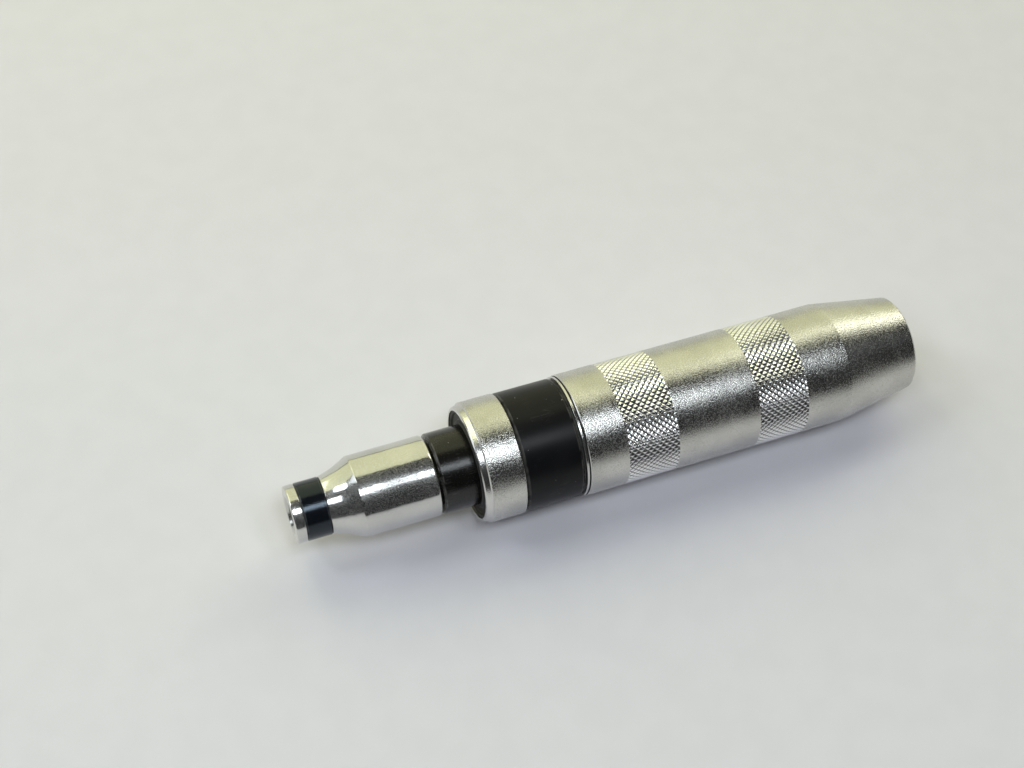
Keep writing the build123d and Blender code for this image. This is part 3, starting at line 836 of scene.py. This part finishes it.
# Studio: a pale paper floor under the tool, a warm panel behind it and a row of cool strips above
# the viewer that the chrome mirrors as its light bands, and smaller boxes for its ends and edges.
# The camera stands at the photograph's angle.
floor_half, floor_z = 3.0, -barrel_r * mm
floor_corners = [
    (x * floor_half, y * floor_half, floor_z) for x, y in ((-1, -1), (1, -1), (1, 1), (-1, 1))
]
floor_mesh = bpy.data.meshes.new("floor")
floor_mesh.from_pydata(floor_corners, [], [(0, 1, 2, 3)])
floor = placed("floor", floor_mesh)
paper_colour = (0.79, 0.77, 0.82)
floor_paper = finish(
    "floor_paper", paper_colour, paper_colour, 0.85, metallic=0.0, grain=(0.5, 0.01), wear=0.0,
    dust=0.0, scratches=0.0, tone=0.01, Specular_IOR_Level=0.1,
)
floor_mesh.materials.append(floor_paper)


def soft_box(name, place, facing, width, height, radiance, colour):
    """Area lamp at a place, turned to face a point, as bright all over as the radiance says."""
    lamp = bpy.data.lights.new(name, "AREA")
    lamp.shape, lamp.size, lamp.size_y = "RECTANGLE", width, height
    lamp.color, lamp.energy = colour, radiance * math.pi * width * height
    box = bpy.data.objects.new(name, lamp)
    bpy.context.scene.collection.objects.link(box)
    away = (Vector(place) - Vector(facing)).normalized()
    side = (Vector((1, 0, 0)) - away * away.x).normalized()
    turn = Matrix((side, away.cross(side), away)).transposed().to_4x4()
    box.matrix_world = Matrix.Translation(place) @ turn
    box.visible_camera = False


warm, mild, cool = (0.985, 1.0, 0.63), (1.0, 1.0, 0.86), (0.88, 0.95, 1.0)
aim = (-0.09, 0, 0)
soft_box("back_panel", (0.1, 0.65, 0.515), (0.1, 0, 0.18), 2.0, 1.09, 0.9, warm)
for name, middle, length, radiance in (
    ("strip_barrel", 0.35, 0.5, 0.25), ("strip_ring", 0.0525, 0.095, 10.0),
    ("strip_holder", -0.0375, 0.085, 0.55), ("strip_tip", -0.14, 0.12, 13.0),
):
    soft_box(name, (middle, -0.285, 0.69), (middle, 0, 0), length, 0.2, radiance, cool)
soft_box("back_edge", (0.38, 0.46, 0.80), (0.38, 0, 0), 0.46, 0.14, 1.6, mild)
soft_box("right_box", (1.0, 0.53, 0.71), (1.0, 0, 0), 0.8, 0.34, 2.8, mild)
soft_box("edge_box", (-0.30, 0.435, 0.6), (-0.12, 0, 0), 0.14, 0.8, 1.8, warm)
soft_box("left_box", (-0.62, 0.216, 0.708), aim, 0.2, 0.2, 8.0, cool)
soft_box("front_left_box", (-0.47, -0.27, 0.68), aim, 0.26, 0.22, 5.5, cool)
soft_box("far_left_box", (-1.35, 0.5, 0.55), aim, 0.8, 0.8, 1.5, cool)
world = bpy.data.worlds.new("studio")
world.use_nodes = True
world.node_tree.nodes["Background"].inputs["Color"].default_value = (0.03, 0.03, 0.03, 1)
bpy.context.scene.world = world

camera = bpy.data.cameras.new("camera")
camera.sensor_width, camera.lens, camera.clip_start = 36, 60.55, 0.01
viewer = bpy.data.objects.new("camera", camera)
bpy.context.scene.collection.objects.link(viewer)
right, up, back = (0.9376, -0.3437, 0.0537), (0.2596, 0.7942, 0.5495), (-0.2315, -0.5013, 0.8338)
turn = Matrix((right, up, back)).transposed().to_4x4()
viewer.matrix_world = Matrix.Translation((-0.2126, -0.2123, 0.3863)) @ turn
bpy.context.scene.camera = viewer
bpy.context.scene.view_settings.view_transform = "Standard"
